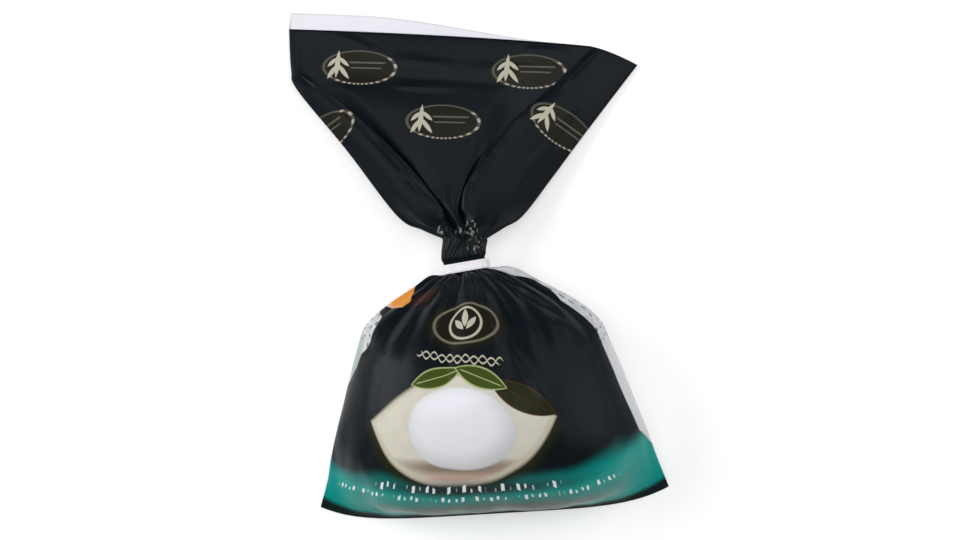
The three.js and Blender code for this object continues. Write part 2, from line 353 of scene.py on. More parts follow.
def gatherField():
    p, g = pouch, gathers
    bodyWay = (1 - np.arange(p["bodyRows"]) / p["bodyRows"]) * g["bodyLength"]
    rows = [gatherRow(g["body"], away) * smooth(i, 2, 20) for i, away in enumerate(bodyWay)]
    share = smooth(np.arange(p["neckRows"]), 0, p["neckRows"] - 1)
    rows += [mix(gatherRow(g["body"], 0), gatherRow(g["fan"], 0), s) * g["neckShare"] for s in share]
    fanWay = np.arange(p["fanRows"] + 1) / p["fanRows"] * g["fanLength"]
    for i, away in enumerate(fanWay):
        rows.append(gatherRow(g["fan"], away) * mix(g["neckShare"], 1, smooth(i, 0, 8)))
    return np.array(rows)


def outward(grid):
    along = np.gradient(grid, axis=0)
    around = (np.roll(grid, -1, 1) - np.roll(grid, 1, 1)) / 2
    normal = np.cross(along, around)
    return normal / np.maximum(np.linalg.norm(normal, axis=2), 1e-9)[..., None]


def foldLift(grid, folds):
    # how far each point is lifted by the single folds, judged by its place seen from above
    lift = np.zeros(grid.shape[:2])
    for start, end, height, width in folds:
        start, end = np.array(start, float), np.array(end, float)
        line = end - start
        share = ((grid[..., :2] - start) @ line) / (line @ line)
        inside = np.clip(share, 0, 1)
        away = np.linalg.norm(grid[..., :2] - start - inside[..., None] * line, axis=2)
        taper = smooth(inside, 0, foldShape["fadesIn"]) * (1 - smooth(inside, foldShape["fadesOut"], 1))
        lift += height * taper * np.maximum(0, 1 - away / width) ** foldShape["sharp"]
    return lift * isFront


def softened(field, passes):
    for _ in range(passes):
        field = (np.roll(field, 1, 1) + 2 * field + np.roll(field, -1, 1)) / 4
        inner = (field[:-2] + 2 * field[1:-1] + field[2:]) / 4
        field = np.concatenate([field[:1], inner, field[-1:]])
    return field


def twiceAsFine(field):
    # from every second row and column to all of them, by a cubic through four neighbours
    wide = np.empty((field.shape[0], field.shape[1] * 2) + field.shape[2:])
    wide[:, ::2] = field
    wide[:, 1::2] = (9 * (field + np.roll(field, -1, 1)) - np.roll(field, 1, 1) - np.roll(field, -2, 1)) / 16
    tall = np.empty((wide.shape[0] * 2 - 1,) + wide.shape[1:])
    tall[::2] = wide
    padded = np.concatenate([wide[:1], wide, wide[-1:]])
    tall[1::2] = (9 * (padded[1:-2] + padded[2:-1]) - padded[:-3] - padded[3:]) / 16
    return tall


# the filled part settles as cloth: held at its seam and neck, swollen by its filling, on the floor
settling = dict(
    frames=25, pressure=1.6, spare=0.05, stiffness=40, shear=5, bending=1.5, mass=0.3, steps=6,
    scale=10,                  # the simulation works on a pouch ten times as large
    seamHeld=0.3, startNoise=0.15, seed=3, damping=5, friction=5,
    floorHalf=3, gap=0.02, touch=0.015,   # how far the floor lies under the film, in scaled metres
    softPasses=40, detailCap=3.0, easeRows=6,   # the last rows ease into the neck, which stays as it is
    bulge=(0.06, 0.06, 0.2), bulgeCap=1.6,   # share of the swelling kept: sideways little, upwards more
    calm=2,                    # smoothing passes that take the sharpest kinks out
    creased=[(0, 0.5), (0.12, 0.45), (0.3, 0.3), (0.6, 0.45), (0.8, 1), (1, 1)],   # share kept, seam to neck
)


def settledFilm(coarse):
    s = settling
    rows, count = coarse.shape[:2]
    start = coarse.copy()
    start[1:-2] += np.random.default_rng(s["seed"]).normal(0, s["startNoise"], start[1:-2].shape)
    cloth = newObject("settlingFilm", gridMesh("settlingFilm", start * s["scale"], False))
    ground = newObject("settlingFloor", squareMesh("settlingFloor", s["floorHalf"], -s["gap"]))
    held = cloth.vertex_groups.new(name="held")
    ids = np.arange(rows * count).reshape(rows, count)
    held.add(ids[[0, -2, -1]].ravel().tolist(), 1.0, "REPLACE")
    held.add(ids[1].tolist(), s["seamHeld"], "REPLACE")
    ground.modifiers.new("ground", "COLLISION")
    ground.collision.thickness_outer = s["gap"]
    ground.collision.cloth_friction = s["friction"]
    modifier = cloth.modifiers.new("film", "CLOTH")
    film = modifier.settings
    film.quality = s["steps"]
    film.mass = s["mass"]
    film.tension_stiffness = film.compression_stiffness = s["stiffness"]
    film.shear_stiffness = s["shear"]
    film.bending_stiffness = s["bending"]
    film.tension_damping = film.compression_damping = film.shear_damping = s["damping"]
    film.use_pressure = True
    film.uniform_pressure_force = s["pressure"]
    film.vertex_group_mass = "held"
    film.shrink_min = -s["spare"]
    film.effector_weights.gravity = 0
    modifier.collision_settings.distance_min = s["touch"]
    modifier.point_cache.frame_start = 1
    modifier.point_cache.frame_end = s["frames"]
    for number in range(1, s["frames"] + 1):
        bpy.context.scene.frame_set(number)
    result = cloth.evaluated_get(bpy.context.evaluated_depsgraph_get()).to_mesh()
    places = np.empty(rows * count * 3, np.float32)
    result.vertices.foreach_get("co", places)
    for item in (cloth, ground):
        bpy.data.objects.remove(item)
    bpy.context.scene.frame_set(1)
    return places.reshape(rows, count, 3).astype(float) / (s["scale"] * metre)


def limited(field, cap):
    size = np.linalg.norm(field, axis=2)
    return field * (cap * np.tanh(size / cap) / np.maximum(size, 1e-9))[..., None]


def settledMove(grid):
    s = settling
    coarse = grid[:pouch["bodyRows"] + 1:2, ::2]
    moved = settledFilm(coarse) - coarse
    bulge = softened(moved, s["softPasses"])
    kept = np.interp(np.linspace(0, 1, len(moved)), *zip(*s["creased"]))
    detail = limited(softened(moved - bulge, s["calm"]), s["detailCap"]) * kept[:, None, None]
    print("film settled as cloth, creases up to", np.abs(detail).max().round(2), "mm")
    return twiceAsFine(detail + limited(bulge * np.array(s["bulge"]), s["bulgeCap"]))


def outerFilm():
    p = pouch
    rows = [bodyRing(i / p["bodyRows"]) for i in range(p["bodyRows"])]
    starts, ends = -p["pinchBelow"] - p["pinchMargin"], p["neckTop"] - p["neckAt"][1]
    rows += [neckRing(mix(starts, ends, i / p["neckRows"])) for i in range(p["neckRows"])]
    rows += [fanRing(i / p["fanRows"]) for i in range(p["fanRows"] + 1)]
    grid = np.array(rows)
    climb = np.linalg.norm(np.diff(grid[:p["bodyRows"] + 1, half // 2], axis=0), axis=1)
    heights = np.concatenate([[0], np.cumsum(climb)])
    edge = np.sqrt(np.maximum(0, np.sin(np.pi * columnIds / half) ** 2)) ** 0.5
    grid += outward(grid) * (gatherField() * edge)[..., None]
    body = p["bodyRows"] + 1
    ease = smooth(np.arange(body)[::-1], 0, settling["easeRows"])
    grid[:body] += settledMove(grid) * ease[:, None, None]
    grid[:p["bodyRows"], :, 2] += foldLift(grid[:p["bodyRows"]], bodyFolds)
    grid[-p["fanRows"]:, :, 2] += foldLift(grid[-p["fanRows"]:], fanFolds)
    grid[..., 2] = np.maximum(grid[..., 2], 0)
    return grid, heights


def innerFilm(outer):
    # the leaves' inner faces, from the mouth down to where the hollow closes
    fanStarts = len(outer) - 1 - pouch["fanRows"]
    last = fanStarts + round(pouch["fanRows"] * pouch["insideStops"])
    fans = outer[last:][::-1]
    mirror = (columns - columnIds) % columns
    middle = (fans + fans[:, mirror]) / 2
    apart = fans[..., 2] - middle[..., 2]
    size = np.abs(apart)
    thinned = np.maximum(size - pouch["filmWall"], pouch["wallShare"] * size)
    opening = mix(pouch["insideEnd"], 1, smooth(np.linspace(1, 0, len(fans)), 0, pouch["insideNarrows"]))
    inside = fans.copy()
    inside[..., 2] = middle[..., 2] + np.sign(apart) * thinned * opening[:, None]
    return inside


def squareMesh(name, halfSide, z):
    mesh = bpy.data.meshes.new(name)
    corners = [(x * halfSide, y * halfSide, z) for x, y in ((-1, -1), (1, -1), (1, 1), (-1, 1))]
    mesh.from_pydata(corners, [], [(0, 1, 2, 3)])
    return mesh


def gridMesh(name, grid, closed=True):
    # closed: the first and the last row are filled
    rows, count = grid.shape[:2]
    mesh = bpy.data.meshes.new(name)
    ids = np.arange(rows * count).reshape(rows, count)
    after = np.roll(ids, -1, 1)
    faces = np.stack([ids[:-1], ids[1:], after[1:], after[:-1]], 2).reshape(-1, 4).tolist()
    for row, order in ((0, (0, 1, 2, 3)), (rows - 1, (3, 2, 1, 0))) if closed else ():
        for c in range(count // 2):
            corners = [c, c + 1, count - c - 1, (count - c) % count]
            kept = [corners[k] for k in order]
            kept = [k for n, k in enumerate(kept) if k not in kept[:n]]
            faces.append([row * count + k for k in kept])
    mesh.from_pydata((grid.reshape(-1, 3) * metre).tolist(), [], faces)
    return mesh


# how the print lies on the film, in mm
layout = dict(
    middleColumn=89,           # the print is turned a little round the pouch, so its back shows at the right
    # how far the pale back panel reaches round onto the shown side, from seam to neck
    backRight=[(0, -10), (0.13, -6), (0.2, 6), (0.27, 12), (0.4, 13.8), (0.54, 15), (0.6, 16), (0.665, 17.5),
               (0.72, 19), (0.79, 21.5), (0.825, 17), (0.87, 14), (0.9, 24), (0.93, 28), (0.96, 33), (1, 30)],
    backLeft=[(0, -10), (0.4, -4), (0.46, 5), (0.52, 11), (0.57, 13), (0.605, 18), (0.64, 20), (0.7, 18.5),
              (0.74, 17), (0.757, 1), (0.77, 1), (0.786, 25), (0.82, 27), (0.85, 17), (0.875, 5),
              (0.92, 2), (1, 2)],
    outsideBack=-50,           # what points that the back panel never reaches are given
    # the flat film's place for a place seen from above: seen, on the film, turn in degrees
    fanRight=((38.6, 62.8), (77.7, 0), 35), fanMiddle=((-16.2, 65.6), (0, 0), 1.35),
    fanLeft=((-71.5, 59.2), (-77.7, 0), -35), fanBack=((0, 60), (20, 10), 0),
    neckSqueeze=2.6,           # the neck's gathers hide this many times what they show
    # towards the bottom corners the printed rows dip: depth, then where across the film it starts and ends
    dipLeft=(24, 22, 62), dipLeftEnds=(85, 120), dipRight=(16, 44, 80), dipFades=(45, 70),
)


def onFlatFilm(places, seen, film, turn):
    c, s = math.cos(math.radians(turn)), math.sin(math.radians(turn))
    x, y = np.moveaxis(places - np.array(seen), -1, 0)
    return np.stack([c * x - s * y, s * x + c * y], -1) + film


def filmPlaces(outer, heights):
    # the film place of each face's four corners, with a jump where folds hide some of the film
    body = pouch["bodyRows"]
    rows = np.arange(len(outer) - 1)[:, None, None] + np.array([0, 1, 1, 0])
    cols = columnIds[None, :, None] + np.array([0, 0, 1, 1])
    seen = outer[rows, cols % columns, :2]
    places = np.empty(seen.shape)
    across, height = layout["middleColumn"] - cols, heights[rows[:body]]
    (left, *leftSpan), (right, *rightSpan) = layout["dipLeft"], layout["dipRight"]
    dip = left * smooth(-across, *leftSpan) * (1 - smooth(-across, *layout["dipLeftEnds"]))
    dip = dip + right * smooth(across, *rightSpan)
    places[:body, ..., 0] = across
    places[:body, ..., 1] = height + dip * (1 - smooth(height, *layout["dipFades"]))
    first, second = fan["creaseColumns"]
    panels = [(0, first, "fanRight"), (first, second, "fanMiddle"), (second, half, "fanLeft"),
              (half, columns, "fanBack")]
    for start, stop, name in panels:
        places[body:, start:stop] = onFlatFilm(seen[body:, start:stop], *layout[name])
    neck = slice(body, body + pouch["neckRows"])
    places[neck, ..., 0] *= layout["neckSqueeze"]
    return places


def backReach():
    # film distance of each body point from the edge of the back panel, above 0 inside it
    share = np.linspace(0, 1, pouch["bodyRows"] + 1)[:, None]
    right = np.interp(share, *zip(*layout["backRight"]))
    left = np.interp(share, *zip(*layout["backLeft"]))
    around = np.where(columnIds < half / 2, columnIds + columns, columnIds)
    return np.minimum(around - half + left, columns + right - around)


def layPrint(mesh, outer, heights):
    places = filmPlaces(outer, heights)
    layer = mesh.uv_layers.new(name="film")
    corners = np.zeros((len(mesh.loops), 2), np.float32)
    corners[:places.size // 2] = places.reshape(-1, 2)
    layer.uv.foreach_set("vector", corners.ravel())
    reach = np.full(len(mesh.vertices), layout["outsideBack"], np.float32)
    back = backReach()
    reach[:back.size] = back.ravel()
    mesh.attributes.new("backPrint", "FLOAT", "POINT").data.foreach_set("value", reach)
    rise = np.full(len(mesh.vertices), heights[-1], np.float32)
    rise[:len(heights) * columns] = np.repeat(heights, columns)
    mesh.attributes.new("seamRise", "FLOAT", "POINT").data.foreach_set("value", rise)
    # materials: 0 on the filled part and the faces that close its seam, 1 on the fan, 2 inside
    body, outerFaces = pouch["bodyRows"] * columns, (len(outer) - 1) * columns
    kind = np.full(len(mesh.polygons), 2, np.int32)
    kind[:body] = 0
    kind[body:outerFaces] = 1
    kind[-half * 2:-half] = 0
    mesh.polygons.foreach_set("material_index", kind)


# shades of the print, and the near-black of a painted shade along the seam
inks = dict(
    # the near-black on this line is painted shade along the seam, where the film turns under towards the
    # floor
    # the olive grey on this line is painted light: the shade and greyed sheen low on the belly, where the
    # film bends down
    ground="#081016", teal="#008a82", foot="#0c1c1c", seam="#374c43", rowShade="#1d2c30", dash="#dfe6e6",
    cream="#c8c5b8", creamShade="#bdb6a6", rim="#b89c8c", brown="#3a2418", orange="#d58a38",
    ball="#d9dadd", ballShade="#b8b9bb", ballGlow="#e2e2ea", ballFoot="#85786a",
    leaf="#3b4814", leafRim="#9ba873", leafDark="#1f220c", plaque="#191811",
    gold="#6f6b5b", goldBright="#b3af9d", goldDim="#56534a", speck="#84827a",
    panel="#c7c9cc", panelShade="#afb2b6", bars="#64676b", mist="#93a39c",
)
maskEdges = dict(oval=0.03, bar=0.08, leaf=0.04)   # half the width of a soft edge, as a share of the shape


def shape(add, place, kind, at, radii, turn=0.0, soft=None):
    # 1 inside an oval, a bar or a leaf with two points; at and radii in mm, turned anticlockwise by degrees
    soft = maskEdges[kind] if soft is None else soft
    local = add("Mapping", {
        "Vector": place, "Location": (*at, 0), "Rotation": (0, 0, math.radians(turn)),
        "Scale": (*radii, 1)}, vector_type="TEXTURE")
    if kind == "oval":
        size = add("VectorMath", local, operation="LENGTH").outputs["Value"]
    else:
        sides = add("VectorMath", local, operation="ABSOLUTE")
        x, y, z = add("SeparateXYZ", sides).outputs
        size = (add("Math", x, y, operation="MAXIMUM") if kind == "bar" else
                add("Math", x, x, y, operation="MULTIPLY_ADD"))
    return add("MapRange", size, 1 + soft, 1 - soft)


def overlap(add, *masks, operation="MULTIPLY"):
    result = masks[0]
    for mask in masks[1:]:
        result = add("Math", result, mask, operation=operation)
    return result


def together(add, *masks):
    return overlap(add, *masks, operation="MAXIMUM")


def without(add, mask, hole):
    rest = add("Math", 1.0, hole, operation="SUBTRACT")
    return overlap(add, mask, rest)


def printLayers(add, ground, layers):
    # each layer of ink over the ones before it
    colour = toLinear(inks[ground]) if isinstance(ground, str) else ground
    for mask, ink in layers:
        ink = toLinear(inks[ink]) if isinstance(ink, str) else ink
        colour = add("Mix", mask, {6: colour, 7: ink}, data_type="RGBA").outputs[2]
    return colour


# oriented polypropylene, reverse printed and satin: dark, with soft broad highlights and fine creases
satin = dict(
    roughness=(0.29, 0.37), specular=0.12, ior=1.5,
    crinkle=0.00006, crinkleStrength=0.5, crinkleSize=12.0, creaseWidth=0.09,   # height in m, sizes in mm
    grainSize=1.1, grainShare=0.12,
)


def surface(add, height, depth, strength, links):
    # ends the material in a principled shader with a bump; links: its other sockets
    bump = add("Bump", {"Height": height, "Distance": depth, "Strength": strength})
    add("OutputMaterial", add("BsdfPrincipled", {**links, "Normal": bump}))


def satinSurface(add, colour, ribs=None):
    s = satin
    place = add("TexCoord").outputs["Object"]
    broad = add("TexNoise", {
        "Vector": place, "Scale": 1 / (s["crinkleSize"] * metre), "Detail": 3.0, "Roughness": 0.55,
        "Distortion": 0.6})
    middle = add("Math", broad, 0.5, operation="SUBTRACT")
    ridge = add("Math", middle, operation="ABSOLUTE")
    crease = add("MapRange", ridge, 0.0, s["creaseWidth"], 1.0, 0.0)
    grain = add("TexNoise", {
        "Vector": place, "Scale": 1 / (s["grainSize"] * metre), "Detail": 2.0, "Roughness": 0.5})
    height = add("Math", grain, s["grainShare"], crease, operation="MULTIPLY_ADD")
    if ribs is not None:
        height = add("Math", height, ribs, operation="ADD")
    rough = add("MapRange", broad, 0.3, 0.7, *s["roughness"])
    surface(add, height, s["crinkle"], s["crinkleStrength"], {
        "Base Color": colour, "Roughness": rough, "Specular IOR Level": s["specular"], "IOR": s["ior"]})


# small print seen from afar: strokes of uneven width and height in uneven groups
dashes = dict(
    waves=[(1, 1), (2.37, 1.7), (6.3, 2.9), (1.61, 0.6)],  # length and phase: strokes, widths, groups, swing
    widthSway=0.5, inked=(0.35, 0.7), grouped=(-0.88, -0.7),   # where on the waves ink starts and is full
    swing=0.14, tallSway=0.12, tallShare=0.3, edge=0.2,        # shares of the row's height, and a soft edge
)


def dashRow(add, place, height, span, tall, step, phase):
    d = dashes
    x, y, z = add("SeparateXYZ", place).outputs
    waves = []
    for longer, later in d["waves"]:
        angle = add("Math", x, 2 * math.pi / (step * longer), phase * later, operation="MULTIPLY_ADD")
        waves.append(add("Math", angle, operation="SINE"))
    stroke, width, group, swing = waves
    mixed = add("Math", width, d["widthSway"], stroke, operation="MULTIPLY_ADD")
    gates = []
    for wave, ends in ((mixed, d["inked"]), (group, d["grouped"])):
        gates.append(add("MapRange", wave, *ends))
    line = add("Math", swing, tall * d["swing"], height, operation="MULTIPLY_ADD")
    offset = add("Math", y, line, operation="SUBTRACT")
    away = add("Math", offset, operation="ABSOLUTE")
    reach = add("Math", width, tall * d["tallSway"], tall * d["tallShare"], operation="MULTIPLY_ADD")
    over = add("Math", reach, away, operation="SUBTRACT")
    gates.append(add("MapRange", over, -d["edge"], d["edge"]))
    row = shape(add, place, "bar", (sum(span) / 2, height), ((span[1] - span[0]) / 2, tall), 0, 0.04)
    return overlap(add, row, *gates)


def specks(add, place, spots, stretch, size, share):
    # scattered specks inside the given ovals
    drawn = add("VectorMath", place, (*stretch, 0), operation="MULTIPLY")
    grain = add("TexNoise", {"Vector": drawn, "Scale": 1 / size, "Detail": 1.0, "Roughness": 0.6})
    inked = add("MapRange", grain, share, share + 0.08)
    ovals = [shape(add, place, "oval", at, radii, 0, 0.3) for at, radii in spots]
    return overlap(add, inked, together(add, *ovals))


def plaitStroke(add, place, height, slope, span, rise, length, thick):
    # two wavy strands that cross, on a slanting line
    x, y, z = add("SeparateXYZ", place).outputs
    wave = add("Math", x, 2 * math.pi / length, operation="MULTIPLY")
    swing = add("Math", wave, operation="SINE")
    line = add("Math", x, slope, height, operation="MULTIPLY_ADD")
    strands = []
    for side in (1, -0.7):
        strand = add("Math", swing, side * rise, line, operation="MULTIPLY_ADD")
        gap = add("Math", y, strand, operation="SUBTRACT")
        away = add("Math", gap, operation="ABSOLUTE")
        strands.append(add("MapRange", away, thick, thick / 2))
    row = shape(add, place, "oval", (sum(span) / 2, height), ((span[1] - span[0]) / 2, rise + 5), 0, 0.05)
    return overlap(add, row, together(add, *strands))


# the front and back print: middle and half sizes in mm on the film, turn in degrees, softness of the edge
artwork = dict(
    plate=((-2, 78.7), (39, 25.8), 7.8), plateInner=((-2, 79.4), (36.2, 23.6), 7.8),
    plateShadow=((-2, 75.6), (41, 26.8), 7.8, 0.11), pinkRim=((2, 57.5), (25, 5), 9, 0.5),
    ball=((-0.7, 80.2), (20.9, 18.2), -14), ballLit=((-2.5, 82.4), (20, 17.3), 0, 0.28),
    ballGlow=((-5, 92), (13, 5.2), 12, 0.6), ballShadow=((-2, 63.2), (20, 3.4), 0, 0.45),
    leaves=[((24, 93.4), (15, 5.2), -33, "leafDark"), ((-10.8, 102.8), (11.2, 4.0), 21, "leaf"),
            ((7.6, 102.8), (11, 4.0), -25, "leaf")],
    leafRim=0.7, veinShare=0.8, veinHalf=0.22,
    plaque=((1, 128.5), (20, 12.5), 0, 0.12),
    ring=[((1, 129), (8.4, 8.4)), ((1, 129), (7.3, 7.3))],
    laurel=[((1, 129), (16.5, 10.5)), ((1, 129), (15.2, 9.5))],
    sprig=[((1, 131.5), (4.6, 1.7), 90), ((-2.1, 128.5), (3.8, 1.4), 130), ((4.1, 128.5), (3.8, 1.4), 50)],
    flourish=dict(height=111.5, slope=-0.12, span=(-20, 17), rise=2.0, length=7.0, thick=0.55),
    # rows of small print: height, span, tallness, stroke step, phase
    rows=[(51, (-34, 34), 5.2, 2.6, 0.4), (43.8, (-56, 56), 4.4, 2.3, 1.3)],
    backRows=[(40 + 6.5 * n, (-62 + 5 * (n % 3), 60 - 7 * (n % 2)), 1.9, 4.0 + n % 4, n * 2.3)
              for n in range(11)],
    sideRows=[(103 + 5 * n, span, 3.2, 3.4 + n % 3, n * 1.9)
              for n in range(12) for span in ((84, 112), (-90, -62)) if n < 6 or span[0] < 0],
    rowShade=((0, 51.5), (36, 4.5), 0, 0.6), brownPatch=((-34, 144.5), (8, 5), 20, 0.5),
    teal=(60.5, 50), tealTilt=0.03,   # where the teal starts and is full, and how it tilts up to the right
    # painted shade and greyed sheen in place of the teal low on the belly, where the film bends down to the
    # floor
    # painted shade by the seam: the film is near-black up to 3 mm above it and clear by 6.5 mm, where it
    # turns under
    foot=(6.5, 3.0), bellyShade=((12, 29), (40, 12), 0, 0.4),
    disc=((106, 143.5), (17, 9.0), 0, 0.2), mistPatch=((93, 92), (9, 16), 0, 0.3),
    cloudSize=6.25, mottled=(0.45, 0.75, 0.0, 0.5),         # uneven cream of the dish
    blotchScale=0.22, blotched=(0.4, 0.7),                  # uneven shade of the back panel, scale per mm
    backBottom=(17.0, 19.0), backShade=(88.0, 104.0), backEdge=0.4,
    sealTop=(9.0, 8.0), ribStep=1.3, ribDepth=0.6,   # the heat seal is pressed in fine ribs
)


def dishLayers(add, place):
    art = artwork
    cloud = add("TexNoise", {"Vector": place, "Scale": 1 / art["cloudSize"], "Detail": 4.0})
    mottled = add("MapRange", cloud, *art["mottled"])
    under = shape(add, place, "leaf", *art["plateShadow"])
    plate = shape(add, place, "leaf", *art["plate"])
    inner = shape(add, place, "leaf", *art["plateInner"])
    layers = [(under, "leafDark"), (plate, "creamShade"), (inner, "cream"),
              (overlap(add, inner, mottled), "creamShade")]
    for name, ink in (("pinkRim", "rim"), ("ballShadow", "ballFoot")):
        layers.append((overlap(add, inner, shape(add, place, "oval", *art[name])), ink))
    for at, radii, turn, ink in art["leaves"]:
        rim = "leafRim" if ink == "leaf" else "brown"
        outside = [r + art["leafRim"] for r in radii]
        vein = (radii[0] * art["veinShare"], art["veinHalf"])
        layers += [(shape(add, place, "leaf", at, outside, turn), rim),
                   (shape(add, place, "leaf", at, radii, turn), ink),
                   (shape(add, place, "bar", at, vein, turn), rim)]
    ball = shape(add, place, "oval", *art["ball"])
    layers.append((ball, "ballShade"))
    for name, ink in (("ballLit", "ball"), ("ballGlow", "ballGlow")):
        layers.append((overlap(add, ball, shape(add, place, "oval", *art[name])), ink))
    return layers


def emblemLayers(add, place):
    art = artwork
    layers = [(shape(add, place, "oval", *art["plaque"]), "plaque")]
    for name, ink in (("laurel", "gold"), ("ring", "goldBright")):
        layers.append((without(add, *[shape(add, place, "oval", *oval) for oval in art[name]]), ink))
    sprig = together(add, *[shape(add, place, "leaf", *leaf) for leaf in art["sprig"]])
    return layers + [(sprig, "goldBright"), (plaitStroke(add, place, **art["flourish"]), "goldBright")]


def backPanel(add, x, y):
    # the back panel has its own middle, half the film's width away
    art = artwork
    turned = add("Math", x, half, operation="ADD")
    wrapped = add("Math", turned, half, -half, operation="WRAP")
    place = add("CombineXYZ", wrapped, y)
    bars = together(add, *[dashRow(add, place, *row) for row in art["backRows"] + art["sideRows"]])
    blotch = add("TexNoise", {"Vector": place, "Scale": art["blotchScale"], "Detail": 2.0})
    blotched = add("MapRange", blotch, *art["blotched"])
    high = add("MapRange", y, *art["backShade"])
    return printLayers(add, "panel", [
        (overlap(add, blotched, high), "panelShade"), (shape(add, place, "oval", *art["mistPatch"]), "mist"),
        (bars, "bars"), (shape(add, place, "oval", *art["disc"]), "orange")])


def bodyPrint():
    art = artwork
    material, add = newMaterial("printedSatinFilm")
    place = add("UVMap", uv_map="film")
    x, y, z = add("SeparateXYZ", place).outputs
    sideRise = add("Math", x, -art["tealTilt"], y, operation="MULTIPLY_ADD")
    teal = add("MapRange", sideRise, *art["teal"], interpolation_type="SMOOTHSTEP")
    seamRise = add("Attribute", attribute_name="seamRise").outputs["Fac"]
    # painted shade along the seam, where the film turns under towards the floor
    foot = add("MapRange", seamRise, *art["foot"])
    # painted shade and greyed sheen low on the belly, in an olive grey over the teal
    risePlace = add("CombineXYZ", x, seamRise)
    layers = [(teal, "teal"), (foot, "foot"), (shape(add, risePlace, "oval", *art["bellyShade"]), "seam")]
    layers += dishLayers(add, place) + emblemLayers(add, place)
    layers.append((overlap(add, shape(add, place, "oval", *art["rowShade"]), teal), "rowShade"))
    layers += [(dashRow(add, place, *row), "dash") for row in art["rows"]]
    layers.append((shape(add, place, "oval", *art["brownPatch"]), "brown"))

    reach = add("Attribute", attribute_name="backPrint").outputs["Fac"]
    inBack = add("MapRange", reach, -art["backEdge"], art["backEdge"])
    aboveSeam = add("MapRange", y, *art["backBottom"])
    layers.append((overlap(add, inBack, aboveSeam), backPanel(add, x, y)))

    wave = add("Math", seamRise, 2 * math.pi / art["ribStep"], operation="MULTIPLY")
    ribs = add("Math", wave, operation="SINE")
    sealed = add("MapRange", seamRise, *art["sealTop"], 0.0, art["ribDepth"])
    satinSurface(add, printLayers(add, "ground", layers), overlap(add, ribs, sealed))
    return material


# the small repeated motif of the fan, sizes in mm on the film
motif = dict(
    step=77.7, rise=24.2, oval=(16.5, 7.6), line=0.034,
    leaves=[((-10.2, 1.4), (6.4, 1.15), 84), ((-7.6, -1.8), (4.6, 1.0), 128), ((-12.6, -2.2), (3.8, 1.0), 56),
            ((-7.4, 2.6), (3.4, 0.9), 140), ((-12.6, 2.2), (3.0, 0.85), 44)],
    bars=[((3.5, 2.3), (8.2, 0.42)), ((3.0, -0.2), (7.0, 0.34))],
    beads=26, beadInk=(-0.1, 0.3), beadTilt=-0.35, beadEnds=(0.5, -0.5),   # beads only on the lower half
    bare=[((0, -25), (200, 13)), ((-125, 22), (60, 13)), ((125, 22), (60, 13)), ((0, 50), (300, 12)),
          ((0, -63), (400, 30))],
    # in the gathered neck only specks of the print are left, at places in mm of the model
    neckSpecks=dict(spots=[((-2.0, 10.2), (3.6, 3.4)), ((-3.8, 17.3), (2.8, 4.6)), ((-17, 17), (2.0, 2.2)),
                           ((-9.2, 16), (1.4, 1.8))], stretch=(1.5, 0.8), size=1.9, share=0.54),
)


def fanPrint():
    m = motif
    step, rise = m["step"], m["rise"]
    material, add = newMaterial("patternedSatinFilm")
    place = add("UVMap", uv_map="film")
    filmX, filmY, z = add("SeparateXYZ", place).outputs
    # every other row is half a step further on
    rowHeight = add("Math", filmY, 1 / rise, 0.5, operation="MULTIPLY_ADD")
    row = add("Math", rowHeight, operation="FLOOR")
    y = add("Math", row, -rise, filmY, operation="MULTIPLY_ADD")
    offset = add("Math", row, step / 2, filmX, operation="MULTIPLY_ADD")
    x = add("Math", offset, step / 2, -step / 2, operation="WRAP")
    local = add("CombineXYZ", x, y)

    outside, inside = [[r * (1 + side * m["line"]) for r in m["oval"]] for side in (1, -1)]
    plaque = shape(add, local, "oval", (0, 0), outside)
    line = without(add, plaque, shape(add, local, "oval", (0, 0), inside))
    angle = add("Math", y, x, operation="ARCTAN2")
    turns = add("Math", angle, m["beads"], operation="MULTIPLY")
    wave = add("Math", turns, operation="SINE")
    slanted = add("Math", x, m["beadTilt"], y, operation="MULTIPLY_ADD")
    beaded = line
    for value, ends in ((wave, m["beadInk"]), (slanted, m["beadEnds"])):
        beaded = overlap(add, beaded, add("MapRange", value, *ends))
    leaves = together(add, *[shape(add, local, "leaf", *leaf) for leaf in m["leaves"]])
    bars = together(add, *[shape(add, local, "bar", *bar) for bar in m["bars"]])
    bare = together(add, *[shape(add, place, "bar", *area, 0, 0.001) for area in m["bare"]])
    spot = add("TexCoord").outputs["Object"]
    inMm = add("VectorMath", spot, (1 / metre, 1 / metre, 0), operation="MULTIPLY")
    satinSurface(add, printLayers(add, "ground", [
        (plaque, "plaque"), (line, "goldDim"), (beaded, "goldBright"), (bars, "goldDim"),
        (leaves, "goldBright"), (bare, "ground"), (specks(add, inMm, **m["neckSpecks"]), "speck")]))
    return material


# polyethylene sealing layer: unprinted white with a faint violet cast, a little duller than the outside
sealing = dict(shades=("#eae9f0", "#e1e0e9"), mottle=90.0, bump=0.0002, bumpStrength=0.4, roughness=0.45)


def insideFilm():
    s = sealing
    material, add = newMaterial("whiteSealingFilm")
    place = add("TexCoord").outputs["Object"]
    mottle = add("TexNoise", {"Vector": place, "Scale": s["mottle"], "Detail": 3.0})
    light, dark = map(toLinear, s["shades"])
    surface(add, mottle, s["bump"], s["bumpStrength"], {
        "Base Color": printLayers(add, light, [(mottle, dark)]), "Roughness": s["roughness"]})
    return material


def makeFilm():
    outer, heights = outerFilm()
    grid = np.concatenate([outer, innerFilm(outer)]) + np.array([*shift, 0])
    bag = newObject("printedFilm", gridMesh("printedFilm", grid))
    for material in (bodyPrint(), fanPrint(), insideFilm()):
        bag.data.materials.append(material)
    layPrint(bag.data, outer, heights)
    bag.data.polygons.foreach_set("use_smooth", [True] * len(bag.data.polygons))
    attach(bag, "root")
    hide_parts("bag")
    print("film made,", len(bag.data.polygons), "faces, top of the print at", heights[-1].round(1), "mm")


